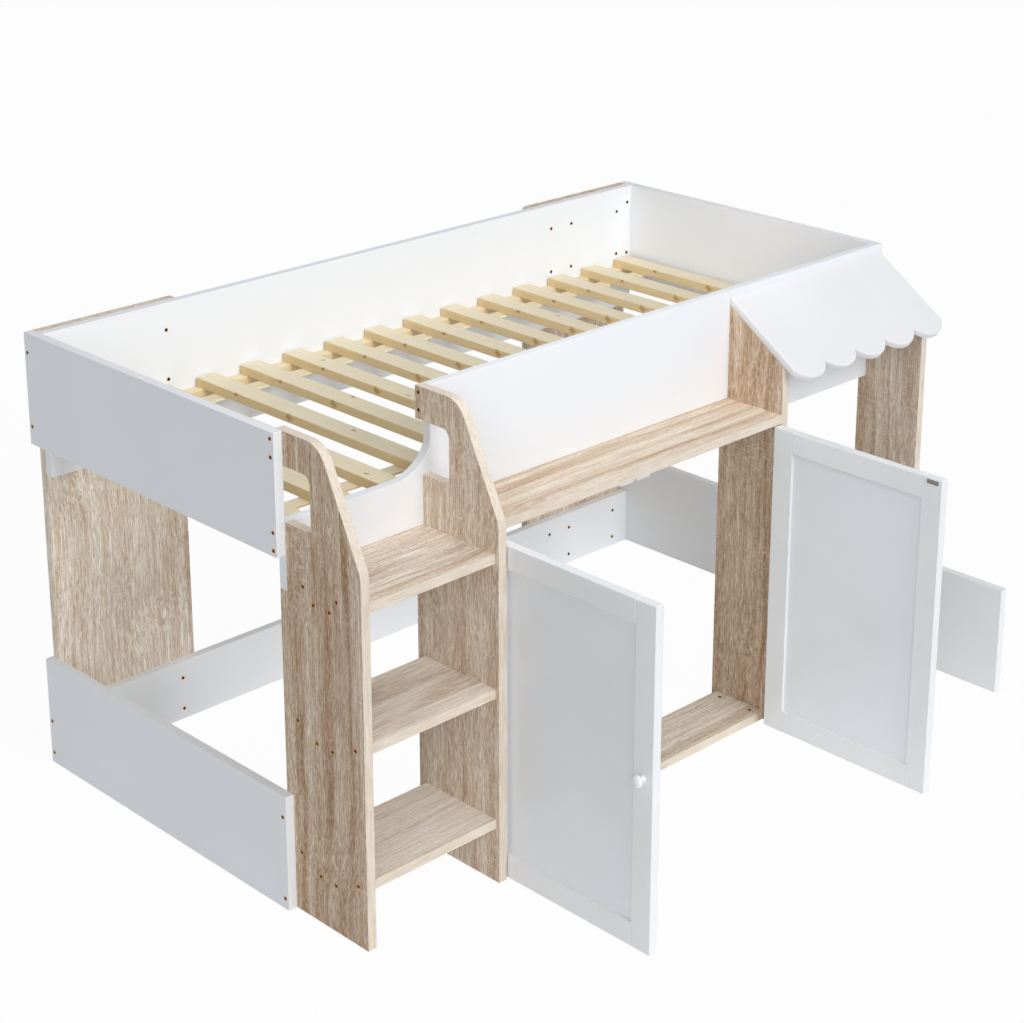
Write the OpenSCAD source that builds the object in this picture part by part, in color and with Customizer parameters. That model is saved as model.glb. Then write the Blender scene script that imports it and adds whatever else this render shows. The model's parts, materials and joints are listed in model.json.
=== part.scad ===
// House bed: a mid-height bed on laminated boards, with a step ladder at the left end, a shop
// counter with two tall doors below it, a low gate and a sloping scalloped awning at the right end.
// Millimetres. X runs along the bed from headboard to footboard, Y from the front to the back,
// Z up. The origin lies on the floor, in the middle of the space that the bed covers with its doors
// wide open.

/* [Bed frame] */
// Length over the headboard and the footboard
bed_length = 1950; // [1850:10:2100]
// Depth from the front rail's face to the back posts' outer face
bed_depth = 888; // [820:2:1100]
// Height of the top edge of the rails and end boards
bed_height = 1065; // [1030:5:1200]
// Thickness of every laminated board
board = 22; // [18:1:25]
// Height of the two upper rails
rail_h = 342; // [320:2:360]
// Height of the upper end boards
end_board_h = 265; // [220:5:290]
// Height of the lower end boards
low_end_h = 266; // [180:2:300]
// Height of the lower back rail
low_rail_h = 153; // [100:1:180]
// Width of each back post
back_post_w = 381; // [200:1:450]
// Radius of a back post's free top corner
back_post_corner_r = 10; // [4:1:20]

/* [Slatted base] */
// Width of one slat
slat_w = 55; // [40:1:80]
// Thickness of one slat
slat_t = 22; // [16:1:26]
// Height of the slats' top face below the rails' top edge
slat_drop = 199; // [195:1:230]
// Gap from an end board to the first slat
slat_margin = 14.5; // [5:0.5:30]
// Gap between the end of a slat and the rail
slat_end_gap = 4; // [2:0.5:8]
// Width of the ledger that carries the slat ends
ledger_w = 33; // [22:1:45]
// Height of the ledger
ledger_h = 38; // [25:1:50]
// Rounding of the ledger's inner top edge
ledger_round = 4; // [1:0.5:8]
// Width of the thin lath that spaces the slats
lath_w = 40; // [25:1:60]
// Thickness of the lath
lath_t = 5; // [3:0.5:8]
// Gap between the ledger and the lath
lath_gap = 42; // [20:1:60]

/* [Ladder] */
// Clear width between the two ladder panels
ladder_clear_w = 345; // [300:5:420]
// How far the ladder panels stand out in front of the front rail
ladder_out = 229; // [200:1:280]
// Height of the panels' front corner, where the slope starts
ladder_front_h = 826; // [780:2:860]
// Depth of a panel's top, up to the corner of its slope
ladder_top_out = 111; // [100:1:130]
// Radius of the panel's upper rounding
ladder_top_r = 62; // [20:1:70]
// Radius of the panel's front rounding
ladder_front_r = 60; // [10:1:80]
// Height of the grab opening above the low part of the front rail
grab_h = 119; // [90:1:125]
// Depth of the grab opening
grab_out = 81; // [60:1:85]
// Radius of the grab opening's upper corner
grab_top_r = 20; // [5:1:30]
// Radius of the grab opening's lower corner
grab_low_r = 8; // [2:1:20]
// Rise from tread to tread, and from the top tread to the rails' top edge
step_rise = 305; // [260:5:315]
// Depth of the treads behind the panels' front edges
step_setback = 10; // [0:1:20]
// Height of the brace under a tread
brace_h = 38; // [25:1:45]
// Width of the brace under a tread
brace_w = 89; // [60:1:110]
// Distance from the rail's face to the brace
brace_back = 62; // [30:1:80]

/* [Entry cut-out of the front rail] */
// Depth of the cut-out from the rail's top edge
entry_drop = 193; // [185:1:200]
// Length of the curve that ends the cut-out
entry_curve_x = 110; // [60:2:140]
// Height of the curve that ends the cut-out
entry_curve_z = 75; // [40:1:100]

/* [Counter and doors] */
// Clear width between the ladder and the middle panel
door_bay_w = 953; // [860:1:1000]
// How far the counter, middle panel and right post stand out from the front rail
counter_out = 167; // [150:1:190]
// Height of the counter's underside above the front rail's lower edge
counter_lift = 53; // [30:1:80]
// Depth of the floor board
floor_board_w = 149; // [120:1:155]
// Gap between the closed doors' inner face and the floor board
door_back_gap = 2; // [1:0.5:4]
// Thickness of the doors
door_t = 22; // [18:1:25]
// Gap between a closed door and the counter above it
door_top_gap = 2; // [1:0.5:4]
// Gap between a door and the floor
door_floor_gap = 4; // [2:0.5:10]
// Gap between the two closed doors
door_meet_gap = 2; // [1:0.5:4]
// Width of the door frames' stiles and rails
stile_w = 54; // [40:1:70]
// Thickness of the doors' infill panels
infill_t = 10; // [6:1:12]
// Depth of the grooves that hold the infill panels
groove = 8; // [5:1:12]
// How far the doors stand open, turned from closed
door_open = 90; // [0:5:90]
// Diameter of the door knobs
knob_d = 28; // [20:1:36]
// Diameter of a knob's foot
knob_foot_d = 17; // [12:0.5:24]
// Thickness of a knob's foot
knob_foot_t = 2; // [1:0.5:4]
// Diameter of a knob's neck
knob_neck_d = 10; // [6:0.5:16]
// Thickness of a knob's rounded head
knob_head_t = 16; // [12:0.5:17]
// How far the knobs stand out
knob_out = 25; // [22:1:32]
// Height of the knobs above the floor
knob_z = 396; // [300:2:500]

/* [Gate] */
// Width of the low gate
gate_w = 463; // [400:1:480]
// Height of the low gate
gate_h = 277; // [200:1:320]

/* [Hinges and catches] */
// Radius of the hinge knuckles
knuckle_r = 2.6; // [2.2:0.1:3]
// Radius of the hinge pins
hinge_pin_r = 1.2; // [1:0.05:1.5]
// Radial clearance of a pin in its knuckle
pin_clear = 0.05; // [0.02:0.01:0.1]
// Length of a hinge
hinge_l = 64; // [50:2:80]
// Width of a hinge leaf
leaf_w = 17; // [12:1:18]
// Thickness of a hinge leaf
leaf_t = 1.2; // [1:0.1:1.3]
// Distance from a tall door's end to its nearest hinge
hinge_inset = 90; // [60:5:140]
// Distance from the gate's end to its nearest hinge
gate_hinge_inset = 30; // [20:2:60]
// Length of a catch plate
catch_plate_l = 30; // [20:1:40]
// Distance from a door's top to its catch plate
catch_drop = 4; // [2:0.5:20]
// Height of a catch plate
catch_plate_h = 10; // [8:1:14]
// Thickness of a catch plate
catch_plate_t = 1; // [0.8:0.1:2]
// Distance from a door's free edge to its catch plate
catch_inset = 10; // [8:1:30]
// Length of a magnet housing
magnet_l = 44; // [30:1:50]
// Height of a magnet housing
magnet_h = 18; // [14:1:24]
// Depth of a magnet housing
magnet_d = 15; // [10:1:24]

/* [Right bay and awning] */
// Thickness of the awning board
awning_t = 18; // [15:1:22]
// Slope of the awning, down from the level
awning_slope = 34.3; // [25:0.1:38]
// Height of the awning's underside at the rail, below the rails' top edge
awning_drop = 36; // [30:1:60]
// Level distance from the rail to the points between the scallops
awning_out = 189; // [180:1:210]
// Distance that the awning stops short of the bed's right end
awning_end_gap = 13; // [0:1:18]
// Number of scallops
scallops = 5; // [3:1:8]
// Depth of a scallop, along the slope
scallop_depth = 34; // [15:1:45]

/* [Screws] */
// Diameter of a screw head
screw_head_d = 8; // [5:0.5:9]
// How far a screw head stands proud of the board
screw_head_proud = 0.4; // [0.2:0.1:1]
// Diameter of a screw's shank
screw_d = 4.5; // [3:0.5:5]
// Length of a screw driven through a board into the edge of the next
edge_screw_l = 50; // [40:1:54]
// Length of a screw driven through a board into the face of the next
face_screw_l = 35; // [28:1:36]
// Length of a screw that stays within one board
short_screw_l = 18; // [12:1:18]
// Drops of the screws in the ladder panels' arms, below the rails' top edge
arm_screw_drops = [14, 53]; // [8:1:64]
// Drops of the screws into the front rail's ends, below the edge of its cut-out
rail_end_screw_drops = [20, 59]; // [10:1:130]
// Drops of the screws into the back posts' edges, below the rails' top edge
post_end_screw_drops = [46, 221]; // [10:1:225]
// Heights of the screws at the front of the lower end boards
low_front_screw_z = [25, 217]; // [15:1:250]
// Heights of the screws at the back of the lower end boards and in the lower back rail
low_back_screw_z = [27, 109]; // [15:1:140]
// Drops of the screws in the back rail, below its top edge
back_rail_screw_drops = [65, 186]; // [20:1:320]
// Distances of the screws from the left back post's outer edge
left_post_screws = [90, 329]; // [20:1:370]
// Distances of the screws from the right back post's outer edge
right_post_screws = [58, 237, 314]; // [20:1:370]
// Distance of the short screws from the back rail's ends
corner_screw_in = 16; // [10:1:40]
// Drops of the short screws at the back rail's ends
corner_screw_drops = [46, 191]; // [10:1:320]
// Distance of the short screws from the floor board's ends
floor_screw_in = 20.5; // [10:0.5:60]
// Distances of the floor board's screws from the front rail's face
floor_screws_out = [22, 118]; // [15:1:130]
// Distances of the two lower treads' screws from the front rail's face
tread_screws_out = [22, 202]; // [15:1:210]
// Distances of the top tread's screws from the front rail's face
top_tread_screws_out = [51, 154]; // [15:1:210]
// Distance of the brace screws from the brace's edges
brace_screw_in = 20; // [10:1:30]

/* [Hidden] */
// One node above for each slat and each tread
slat_count = 15;
steps = 3;

white = "WhiteSmoke";
oak = "BurlyWood";
pine = "Wheat";
steel = "Silver";
brass = "DarkGoldenrod";
eps = 0.01;

// Lines of the frame, measured from the headboard's outer face and the front rail's front face
x_in = board;
x_out = bed_length - board;
y_back_in = bed_depth - 2 * board;
y_post = bed_depth - board;
rail_z = bed_height - rail_h;
end_z = bed_height - end_board_h;
entry_z = bed_height - entry_drop;
x_lad_left = x_in;
x_step = x_lad_left + board;
x_lad_right = x_step + ladder_clear_w;
x_bay = x_lad_right + board;
x_mid = x_bay + door_bay_w;
x_right_bay = x_mid + board;
x_right_post = x_out - board;

// Levels of the slatted base
slat_top = bed_height - slat_drop;
slat_under = slat_top - slat_t;
slat_y0 = board + slat_end_gap;
slat_len = y_back_in - slat_end_gap - slat_y0;
slat_pitch = (x_out - x_in - 2 * slat_margin - slat_w) / (slat_count - 1);

// Counter, doors and gate
counter_z = rail_z + counter_lift;
door_z = door_floor_gap;
door_h = counter_z - door_top_gap - door_z;
door_plane = -counter_out;
knuckle_relief = 0.3;
hinge_play = 0.2;
hinge_gap = knuckle_r + hinge_play;
knuckle_gap = 0.2;
catch_gap = 0.3;
door_w = (door_bay_w - 2 * hinge_gap - door_meet_gap) / 2;
left_pin_x = x_bay + hinge_gap;
right_pin_x = x_mid - hinge_gap;
gate_pin_x = x_right_post - hinge_gap;

function slat_name(i) = str("slat_", i < 10 ? "0" : "", i);

// Moves what is measured from the headboard and the front rail's face to the part's own frame
door_reach = door_plane - door_w;
module placed() translate([-bed_length / 2, -(bed_depth + door_reach) / 2, 0]) children();

// A board between two opposite corners
module board_between(a, b) placed() translate(a) cube(b - a);

// A board in a plane across the bed, cut to an outline of [y, z] points
module cross_board(x) placed() translate([x, 0, 0]) rotate([90, 0, 90])
    linear_extrude(board) children();

// The points of an outline [x, y, corner radius], with each rounded corner as an arc
function unit(v) = v / norm(v);
function corner(a, b, c) =
    let (p = [b.x, b.y], u = unit([a.x, a.y] - p), v = unit([c.x, c.y] - p),
        half = acos(u * v) / 2, reach = b.z / tan(half), mid = p + unit(u + v) * b.z / sin(half),
        start = p + u * reach - mid, turn = cross(u, v) > 0 ? -1 : 1, sweep = 180 - 2 * half)
    b.z == 0 ? [p] : [for (i = [0:12]) let (t = turn * sweep * i / 12)
        mid + [start.x * cos(t) - start.y * sin(t), start.x * sin(t) + start.y * cos(t)]];
function rounded(pts) = let (n = len(pts))
    [for (i = [0:n - 1]) each corner(pts[(i + n - 1) % n], pts[i], pts[(i + 1) % n])];

// Upper frame

module headboard() color(white)
    board_between([0, 0, end_z], [x_in, bed_depth, bed_height]);

module footboard() color(white)
    board_between([x_out, 0, end_z], [bed_length, bed_depth, bed_height]);

module back_rail() color(white)
    board_between([x_in, y_back_in, rail_z], [x_out, y_post, bed_height]);

// The rail's left end is cut down for the ladder and ends in a concave curve
module front_rail() color(white)
    placed() translate([0, board, 0]) rotate([90, 0, 0]) linear_extrude(board)
        polygon(concat(
            [[x_in, rail_z], [x_out, rail_z], [x_out, bed_height], [x_bay, bed_height]],
            [for (a = [0:5:90])
                [x_bay - entry_curve_x * (1 - cos(a)), entry_z + entry_curve_z * (1 - sin(a))]],
            [[x_in, entry_z]]));

// Lower frame and back posts

module lower_left_end_board() color(white)
    board_between([0, 0, 0], [x_in, bed_depth, low_end_h]);

module lower_right_end_board() color(white)
    board_between([x_out, 0, 0], [bed_length, bed_depth, low_end_h]);

module lower_back_rail() color(white)
    board_between([x_in, y_back_in, 0], [x_out, y_post, low_rail_h]);

// A back post, with its free top corner rounded; side is 1 where that corner is on the right
module back_post(x, side) color(oak)
    placed() translate([x, bed_depth, 0]) rotate([90, 0, 0]) linear_extrude(board)
        polygon(rounded([[0, 0, 0], [back_post_w, 0, 0],
            [back_post_w, bed_height, side > 0 ? back_post_corner_r : 0],
            [0, bed_height, side > 0 ? 0 : back_post_corner_r]]));

module left_back_post() back_post(x_in, 1);

module right_back_post() back_post(x_out - back_post_w, -1);

// Ladder

// A ladder panel: notched round the front rail, open for the hand above it, sloped in front
module ladder_panel(x) color(oak) cross_board(x)
    polygon(rounded([[board, 0, 0], [board, rail_z, 0], [0, rail_z, 0], [0, entry_z, 0],
        [-grab_out, entry_z, grab_low_r], [-grab_out, entry_z + grab_h, grab_top_r],
        [board, entry_z + grab_h, 0], [board, bed_height, 0],
        [-ladder_top_out, bed_height, ladder_top_r],
        [-ladder_out, ladder_front_h, ladder_front_r], [-ladder_out, 0, 0]]));

module ladder_left_panel() ladder_panel(x_lad_left);

module ladder_right_panel() ladder_panel(x_lad_right);

function step_z(i) = bed_height - (steps + 1 - i) * step_rise - board;

module step(i) color(oak)
    board_between([x_step, step_setback - ladder_out, step_z(i)],
        [x_lad_right, 0, step_z(i) + board]);

module step_braces() color(oak) for (i = [1:steps])
    board_between([x_step, -brace_back - brace_w, step_z(i) - brace_h],
        [x_lad_right, -brace_back, step_z(i)]);

// Counter and right bay

// A front post: notched round the front rail, its top cut to the awning's slope
module front_post(x) color(oak) cross_board(x)
    polygon([[board, 0], [board, rail_z], [0, rail_z], [0, bed_height - awning_drop],
        [-counter_out, bed_height - awning_drop - counter_out * tan(awning_slope)],
        [-counter_out, 0]]);

module middle_panel() front_post(x_mid);

module right_front_post() front_post(x_right_post);

module counter_shelf() color(oak)
    board_between([x_bay, -counter_out, counter_z], [x_mid, 0, counter_z + board]);

floor_board_y = door_plane + door_t + door_back_gap;
module floor_board() color(oak)
    board_between([x_bay, floor_board_y, 0], [x_mid, floor_board_y + floor_board_w, board]);

// The awning board in its own plane: x along the bed, y down the slope, then tilted
awning_w = bed_length - awning_end_gap - x_mid;
awning_len = awning_out / cos(awning_slope);
scallop_w = awning_w / scallops;
scallop_r = (pow(scallop_w / 2, 2) + pow(scallop_depth, 2)) / (2 * scallop_depth);
scallop_half = asin(scallop_w / 2 / scallop_r);
module awning() color(white)
    placed() translate([x_mid, 0, bed_height - awning_drop]) difference() {
        rotate([180 + awning_slope, 0, 0]) mirror([0, 0, 1]) translate([0, -awning_t, 0])
            linear_extrude(awning_t) polygon(concat(
                [[awning_w, 0], [0, 0]],
                [for (k = [0:scallops - 1], i = [0:12])
                    let (a = -scallop_half + 2 * scallop_half * i / 12)
                    [(k + 0.5) * scallop_w + scallop_r * sin(a), awning_t + awning_len
                        + scallop_depth - scallop_r * (1 - cos(a))]]));
        translate([-1, 0, -awning_t]) cube([awning_w + 2, 2 * awning_t, 4 * awning_t]);
    }

// Slatted base

// A ledger along a rail, with its inner top edge rounded; side is 1 at the front, -1 at the back
module ledger(y, side) color(pine)
    placed() translate([x_in, y, slat_under]) rotate([90, 0, 90]) linear_extrude(x_out - x_in)
        polygon(rounded([[0, 0, 0], [0, -ledger_h, 0], [side * ledger_w, -ledger_h, 0],
            [side * ledger_w, 0, ledger_round]]));

module front_ledger() ledger(board, 1);

module back_ledger() ledger(y_back_in, -1);

function slat_x(i) = x_in + slat_margin + (i - 1) * slat_pitch;

module slat(i) color(pine)
    board_between([slat_x(i), slat_y0, slat_under],
        [slat_x(i) + slat_w, slat_y0 + slat_len, slat_top]);

module slat_laths() color(pine)
    for (y = [board + ledger_w + lath_gap, y_back_in - ledger_w - lath_gap - lath_w])
        board_between([slat_x(1), y, slat_under - lath_t],
            [slat_x(slat_count) + slat_w, y + lath_w, slat_under]);

// Doors, drawn closed at the origin with the hinge pin on the Z axis and the outer face on Y = 0

// Turns and places what belongs to a door; side is 1 for a hinge on the left, -1 on the right
module hung(pin_x, pin_y, side) placed() translate([pin_x, pin_y, 0])
    rotate([0, 0, -side * door_open]) mirror([side < 0 ? 1 : 0, 0, 0]) children();

module left_hung() hung(left_pin_x, door_plane, 1) children();

module right_hung() hung(right_pin_x, door_plane, -1) children();

module gate_hung() hung(gate_pin_x, 0, -1) children();

// The two lower ends of the hinges on a leaf of height h from level z
function hinge_levels(z, h, inset) = [z + inset, z + h - inset - hinge_l];
door_hinges = hinge_levels(door_z, door_h, hinge_inset);
gate_hinges = hinge_levels(door_z, gate_h, gate_hinge_inset);

// Room for the knuckles in a leaf's hinge edge
module knuckle_room(levels) for (z = levels)
    translate([0, 0, z - knuckle_relief])
        cylinder(h = hinge_l + 2 * knuckle_relief, r = knuckle_r + knuckle_relief, $fn = 48);

infill_y = (door_t - infill_t) / 2;

// The infill's own space, which the stiles and rails are grooved for
module infill_space()
    translate([stile_w - groove, infill_y, door_z + stile_w - groove])
        cube([door_w - 2 * (stile_w - groove), infill_t, door_h - 2 * (stile_w - groove)]);

module hinge_stile() color(white) difference() {
    translate([0, 0, door_z]) cube([stile_w, door_t, door_h]);
    infill_space();
    knuckle_room(door_hinges);
}

module free_stile() color(white) difference() {
    translate([door_w - stile_w, 0, door_z]) cube([stile_w, door_t, door_h]);
    infill_space();
}

module door_rail(z) color(white) difference() {
    translate([stile_w, 0, z]) cube([door_w - 2 * stile_w, door_t, stile_w]);
    infill_space();
}

module top_rail() door_rail(door_z + door_h - stile_w);

module bottom_rail() door_rail(door_z);

module infill() color(white) infill_space();

// A turned knob on the free stile: foot, neck and domed head
module knob() color(white)
    translate([door_w - stile_w / 2, 0, knob_z]) rotate([90, 0, 0]) rotate_extrude($fn = 48)
        polygon(concat([[0, 0], [knob_foot_d / 2, 0], [knob_foot_d / 2, knob_foot_t],
            [knob_neck_d / 2, 2 * knob_foot_t], [knob_neck_d / 2, knob_out - knob_head_t]],
            [for (a = [-60:10:80]) [knob_d / 2 * cos(a), knob_out - knob_head_t / 2 * (1 - sin(a))]],
            [[0, knob_out]]));

module catch_plate() color(steel)
    translate([door_w - catch_inset - catch_plate_l, door_t,
            door_z + door_h - catch_plate_h - catch_drop])
        cube([catch_plate_l, catch_plate_t, catch_plate_h]);

module gate_leaf() color(white) difference() {
    translate([0, 0, door_z]) cube([gate_w, door_t, gate_h]);
    knuckle_room(gate_hinges);
}

// Magnet housings under the counter, one behind each closed door's plate
module magnetic_catches() color(white) placed()
    for (x = [left_pin_x + door_w - catch_inset - catch_plate_l / 2,
            right_pin_x - door_w + catch_inset + catch_plate_l / 2])
        translate([x - magnet_l / 2, door_plane + door_t + catch_plate_t + catch_gap,
                counter_z - magnet_h])
            cube([magnet_l, magnet_d, magnet_h]);

// Butt hinges: the pin on the Z axis, the fixed leaf flat on the panel, the moving leaf on the door

knuckle_l = hinge_l / 3;
leaf_start = knuckle_r + knuckle_relief;

// A knuckle with its bore, from z for a length l
module knuckle(z, l) translate([0, 0, z]) difference() {
    cylinder(h = l, r = knuckle_r, $fn = 48);
    translate([0, 0, -1]) cylinder(h = l + 2, r = hinge_pin_r + pin_clear, $fn = 48);
}

// A leaf whose flat lies between x and x + leaf_t, joined to the knuckles in spans of [z, length]
module leaf(x, spans) {
    translate([x, leaf_start, 0]) cube([leaf_t, leaf_w - leaf_start, hinge_l]);
    for (s = spans) {
        knuckle(s[0], s[1]);
        difference() {
            translate([x, 0, s[0]]) cube([leaf_t, leaf_start + eps, s[1]]);
            translate([0, 0, s[0] - 1])
                cylinder(h = s[1] + 2, r = hinge_pin_r + pin_clear, $fn = 48);
        }
    }
}

module fixed_leaf() leaf(-hinge_gap, [[0, knuckle_l - knuckle_gap],
    [2 * knuckle_l + knuckle_gap, knuckle_l - knuckle_gap]]);

module moving_leaf() leaf(-leaf_t, [[knuckle_l, knuckle_l]]);

// What stays on the frame is mirrored for a right-hand door but isn't turned with it
module at_pin(pin_x, pin_y, side) placed() translate([pin_x, pin_y, 0])
    mirror([side < 0 ? 1 : 0, 0, 0]) children();

module at_levels(levels) for (z = levels) translate([0, 0, z]) children();

module on_all_hinges() {
    at_pin(left_pin_x, door_plane, 1) at_levels(door_hinges) children();
    at_pin(right_pin_x, door_plane, -1) at_levels(door_hinges) children();
    at_pin(gate_pin_x, 0, -1) at_levels(gate_hinges) children();
}

module hinge_fixed_leaves() color(steel) on_all_hinges() fixed_leaf();

module hinge_pins() color(steel) on_all_hinges() cylinder(h = hinge_l, r = hinge_pin_r, $fn = 48);

// Screws

// A screw with its head on the plane it is driven into, along -Z
module screw(l) {
    translate([0, 0, -screw_head_proud]) cylinder(h = 2 * screw_head_proud, d = screw_head_d, $fn = 24);
    translate([0, 0, -l]) cylinder(h = l, d = screw_d, $fn = 24);
}

edge = board / 2;

// Screws driven along +X from a face at x, at each [y, z]
module screws_from_left(x, places, l = edge_screw_l) for (p = places)
    translate([x, p[0], p[1]]) rotate([0, -90, 0]) screw(l);

module screws_from_right(x, places, l = edge_screw_l) for (p = places)
    translate([x, p[0], p[1]]) rotate([0, 90, 0]) screw(l);

// Screws driven along +Y from a face at y, at each [x, z]
module screws_from_front(y, places, l = face_screw_l) for (p = places)
    translate([p[0], y, p[1]]) rotate([90, 0, 0]) screw(l);

arm_screws = [for (d = arm_screw_drops) [edge, bed_height - d]];
rail_end_screws = [for (d = rail_end_screw_drops) [edge, entry_z - d]];
end_back_screws = [for (d = post_end_screw_drops) [y_post + edge, bed_height - d]];
low_back_screws = [for (z = low_back_screw_z) [y_post + edge, z]];
low_front_screws = [for (z = low_front_screw_z) [edge, z]];
tread_screws = [for (i = [1:steps - 1], y = tread_screws_out) [-y, step_z(i) + edge]];
top_tread_screws = [for (y = top_tread_screws_out) [-y, step_z(steps) + edge]];
brace_screws = [for (i = [1:steps], y = [brace_screw_in, brace_w - brace_screw_in])
    [-brace_back - y, step_z(i) - brace_h / 2]];
ladder_screws = concat(tread_screws, top_tread_screws, brace_screws);
post_screw_x = concat([for (d = left_post_screws) x_in + d],
    [for (d = right_post_screws) x_out - d]);

module frame_screws() color(brass) placed() {
    screws_from_left(0, concat(rail_end_screws, end_back_screws, low_back_screws));
    screws_from_left(0, concat(arm_screws, low_front_screws), face_screw_l);
    screws_from_right(bed_length, concat(rail_end_screws, end_back_screws, low_back_screws));
    screws_from_right(bed_length, low_front_screws, face_screw_l);
    screws_from_left(x_lad_left, ladder_screws);
    screws_from_right(x_bay, ladder_screws);
    screws_from_left(x_lad_right, arm_screws);
    screws_from_front(y_back_in, [for (x = post_screw_x, d = back_rail_screw_drops)
        [x, bed_height - d]]);
    screws_from_front(y_back_in, [for (x = post_screw_x, z = low_back_screw_z) [x, z]]);
    screws_from_front(y_back_in, [for (x = [x_in + corner_screw_in, x_out - corner_screw_in],
        d = corner_screw_drops) [x, bed_height - d]], short_screw_l);
    for (x = [x_bay + floor_screw_in, x_mid - floor_screw_in], y = floor_screws_out)
        translate([x, -y, board]) screw(short_screw_l);
}

headboard();
footboard();
back_rail();
front_rail();
lower_left_end_board();
lower_right_end_board();
lower_back_rail();
left_back_post();
right_back_post();
ladder_left_panel();
ladder_right_panel();
step(1);  // step_1
step(2);  // step_2
step(3);  // step_3
step_braces();
middle_panel();
right_front_post();
counter_shelf();
floor_board();
awning();
front_ledger();
back_ledger();
slat_laths();
for (i = [1:slat_count]) slat(i);
left_hung() hinge_stile();  // left_door_hinge_stile
left_hung() free_stile();  // left_door_free_stile
left_hung() top_rail();  // left_door_top_rail
left_hung() bottom_rail();  // left_door_bottom_rail
left_hung() infill();  // left_door_infill
left_hung() knob();  // left_door_knob
right_hung() hinge_stile();  // right_door_hinge_stile
right_hung() free_stile();  // right_door_free_stile
right_hung() top_rail();  // right_door_top_rail
right_hung() bottom_rail();  // right_door_bottom_rail
right_hung() infill();  // right_door_infill
right_hung() knob();  // right_door_knob
gate_hung() gate_leaf();  // gate_board
hinge_fixed_leaves();
hinge_pins();
left_hung() color(steel) at_levels(door_hinges) moving_leaf();  // left_door_hinge_leaves
right_hung() color(steel) at_levels(door_hinges) moving_leaf();  // right_door_hinge_leaves
gate_hung() color(steel) at_levels(gate_hinges) moving_leaf();  // gate_hinge_leaves
left_hung() catch_plate();  // left_door_catch_plate
right_hung() catch_plate();  // right_door_catch_plate
magnetic_catches();
frame_screws();
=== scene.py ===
import json
import math
import random

import bmesh
import bpy
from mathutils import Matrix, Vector


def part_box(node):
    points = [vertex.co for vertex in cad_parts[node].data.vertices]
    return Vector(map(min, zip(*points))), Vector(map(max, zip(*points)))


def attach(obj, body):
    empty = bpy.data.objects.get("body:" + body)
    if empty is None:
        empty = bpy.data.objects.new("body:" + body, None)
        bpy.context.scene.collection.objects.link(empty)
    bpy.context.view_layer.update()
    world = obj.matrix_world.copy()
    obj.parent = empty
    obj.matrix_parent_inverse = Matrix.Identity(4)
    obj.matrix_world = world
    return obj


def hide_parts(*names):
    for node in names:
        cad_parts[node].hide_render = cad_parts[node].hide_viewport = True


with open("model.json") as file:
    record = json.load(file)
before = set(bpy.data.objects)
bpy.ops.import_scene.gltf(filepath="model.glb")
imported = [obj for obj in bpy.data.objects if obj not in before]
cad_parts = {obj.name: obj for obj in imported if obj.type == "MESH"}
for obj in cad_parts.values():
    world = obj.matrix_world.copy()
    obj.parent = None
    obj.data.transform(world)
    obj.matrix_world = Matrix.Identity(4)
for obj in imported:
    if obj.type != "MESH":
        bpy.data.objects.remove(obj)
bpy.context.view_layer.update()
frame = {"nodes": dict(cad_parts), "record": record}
nodes = frame["nodes"]


# Small tools

def linear(hexColour):
    # an sRGB hex value as the linear colour that Blender mixes in
    parts = [int(hexColour[i:i + 2], 16) / 255 for i in (1, 3, 5)]
    return tuple(c / 12.92 if c <= 0.04045 else ((c + 0.055) / 1.055) ** 2.4 for c in parts) + (1.0,)


def addNode(tree, kind, inputs=None, stops=(), **settings):
    # a node with its settings, its inputs set or linked, and its ramp's stops; hex values become linear
    node = tree.nodes.new(kind)
    for name, value in settings.items():
        setattr(node, name, value)
    for name, value in (inputs or {}).items():
        if isinstance(value, bpy.types.NodeSocket):
            tree.links.new(value, node.inputs[name])
        else:
            isHex = isinstance(value, str) and value.startswith("#")
            node.inputs[name].default_value = linear(value) if isHex else value
    if stops:
        band = node.color_ramp.elements
        while len(band) < len(stops):
            band.new(0.5)
        for stop, (position, colour) in zip(band, stops):
            stop.position = position
            stop.color = linear(colour) if isinstance(colour, str) else (colour, colour, colour, 1.0)
    return node


def newMaterial(name, roughness, metallic=0.0, specular=0.5):
    material = bpy.data.materials.new(name)
    material.use_nodes = True
    shader = material.node_tree.nodes["Principled BSDF"]
    shader.inputs["Roughness"].default_value = roughness
    shader.inputs["Metallic"].default_value = metallic
    shader.inputs["Specular IOR Level"].default_value = specular
    return material, material.node_tree, shader


def giveLook(tree, shader, colour, height=None, depth=0.0):
    # the shader's colour and, where there is one, its relief, so many metres deep
    tree.links.new(colour, shader.inputs["Base Color"])
    if height is not None:
        relief = addNode(tree, "ShaderNodeBump", {"Height": height, "Distance": depth, "Strength": 1.0})
        tree.links.new(relief.outputs["Normal"], shader.inputs["Normal"])


def stretchedNoise(tree, place, across, along, detail=2.0):
    # noise whose features are so many metres wide across the grain and long along it, its grain on X
    scaled = addNode(tree, "ShaderNodeVectorMath", {0: place, 1: (1 / along, 1 / across, 1 / across)},
                     operation="MULTIPLY")
    noise = addNode(tree, "ShaderNodeTexNoise",
                    {"Vector": scaled.outputs[0], "Scale": 1.0, "Detail": detail, "Roughness": 0.55})
    return noise.outputs["Fac"]


def turnedPlace(tree, grainAxis):
    # Object coordinates with the grain on X, and the two that lie across it
    place = addNode(tree, "ShaderNodeTexCoord").outputs["Object"]
    parts = addNode(tree, "ShaderNodeSeparateXYZ", {0: place}).outputs
    along, one, other = {"X": "XYZ", "Z": "ZXY"}[grainAxis]
    turned = addNode(tree, "ShaderNodeCombineXYZ", {0: parts[along], 1: parts[one], 2: parts[other]})
    return turned.outputs[0], parts[one], parts[other]


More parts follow.
